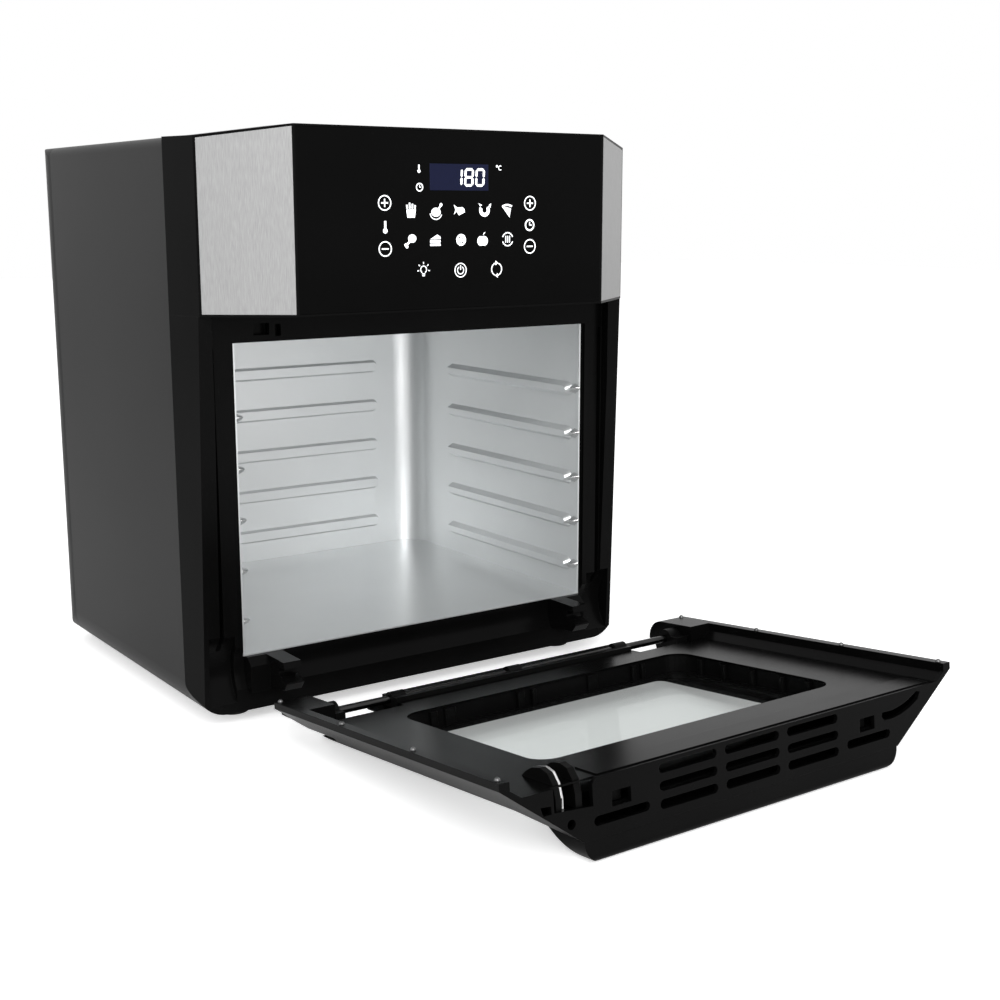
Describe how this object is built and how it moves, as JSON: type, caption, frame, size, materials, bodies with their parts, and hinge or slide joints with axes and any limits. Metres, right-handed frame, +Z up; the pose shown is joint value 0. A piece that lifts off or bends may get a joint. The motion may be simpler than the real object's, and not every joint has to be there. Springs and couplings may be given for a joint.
{
  "type": "air fryer oven",
  "caption": "Countertop air fryer oven with a touch panel, rail-sided steel cooking space and a lift-off drop-down door with window.",
  "frame": {"origin": "on the table, below the middle of the oven and its laid-out door together", "axes": "+X to the right seen from the front, +Y from the door to the oven's back, +Z up"},
  "size_m": [0.356, 0.5474, 0.3654],
  "materials": {
    "painted_case": "satin",
    "black_moulding": "satin",
    "gloss_moulding": "gloss",
    "dark_glass": "gloss",
    "display": "gloss",
    "brushed_panel": "brushed",
    "liner_steel": "satin",
    "bright_steel": "polished",
    "board": "matt",
    "rubber_foot": "matt",
    "window_glass": "clear",
    "door_sheet": "satin",
    "fan_metal": "satin",
    "motor_steel": "satin",
    "element_metal": "matt"
  },
  "bodies": {
    "oven": {"outer_wrap": "painted_case", "base_pan": "painted_case", "rear_cover": "black_moulding", "cord_gland": "rubber_foot", "front_bezel": "gloss_moulding", "control_housing": "gloss_moulding", "steel_panel_left": "brushed_panel", "steel_panel_right": "brushed_panel", "touch_glass": "dark_glass", "display_module": "display", "control_board": "board", "cavity_left_wall": "liner_steel", "cavity_right_wall": "liner_steel", "cavity_back_wall": "liner_steel", "rail_stops": "bright_steel", "cavity_floor": "liner_steel", "cavity_ceiling": "liner_steel", "lamp_lens": "window_glass", "lamp_holder": "motor_steel", "fan_grille": "liner_steel", "fan_hood": "liner_steel", "heating_element": "element_metal", "fan_motor": "motor_steel", "motor_bracket": "motor_steel", "spit_motor": "motor_steel", "hinge_bracket_left": "gloss_moulding", "hinge_bracket_right": "gloss_moulding", "foot_front_left": "rubber_foot", "foot_front_right": "rubber_foot", "foot_back_left": "rubber_foot", "foot_back_right": "rubber_foot"},
    "fan": {"fan_blade": "fan_metal", "fan_shaft": "bright_steel"},
    "spit": {"spit_socket": "bright_steel"},
    "rod": {"hinge_rod": "bright_steel"},
    "door": {"door_shell": "gloss_moulding", "door_inner_panel": "door_sheet", "door_window_frame": "black_moulding", "door_glass": "window_glass", "door_handle": "gloss_moulding", "door_hinge_bar": "black_moulding", "hinge_lug_left": "black_moulding", "hinge_lug_right": "black_moulding", "latch_hooks": "gloss_moulding", "door_screws": "bright_steel"}
  },
  "joints": [
    {"name": "door_dock", "type": "slide", "parent": "oven", "child": "rod", "axis": [-0.4945, 0.8211, 0.285], "range_m": [0, 0.05359]},
    {"name": "door_hinge", "type": "hinge", "parent": "rod", "child": "door", "pos_m": [0.014, -0.05225, 0.02073], "axis": [-1, 0, 0], "range_deg": [0, 83.71]},
    {"name": "fan_spin", "type": "hinge", "parent": "oven", "child": "fan", "pos_m": [-0.0125, 0.12575, 0.27], "axis": [0, 0, 1], "continuous": true},
    {"name": "spit_spin", "type": "hinge", "parent": "oven", "child": "spit", "pos_m": [-0.1445, 0.11775, 0.1439], "axis": [1, 0, 0], "continuous": true}
  ]
}
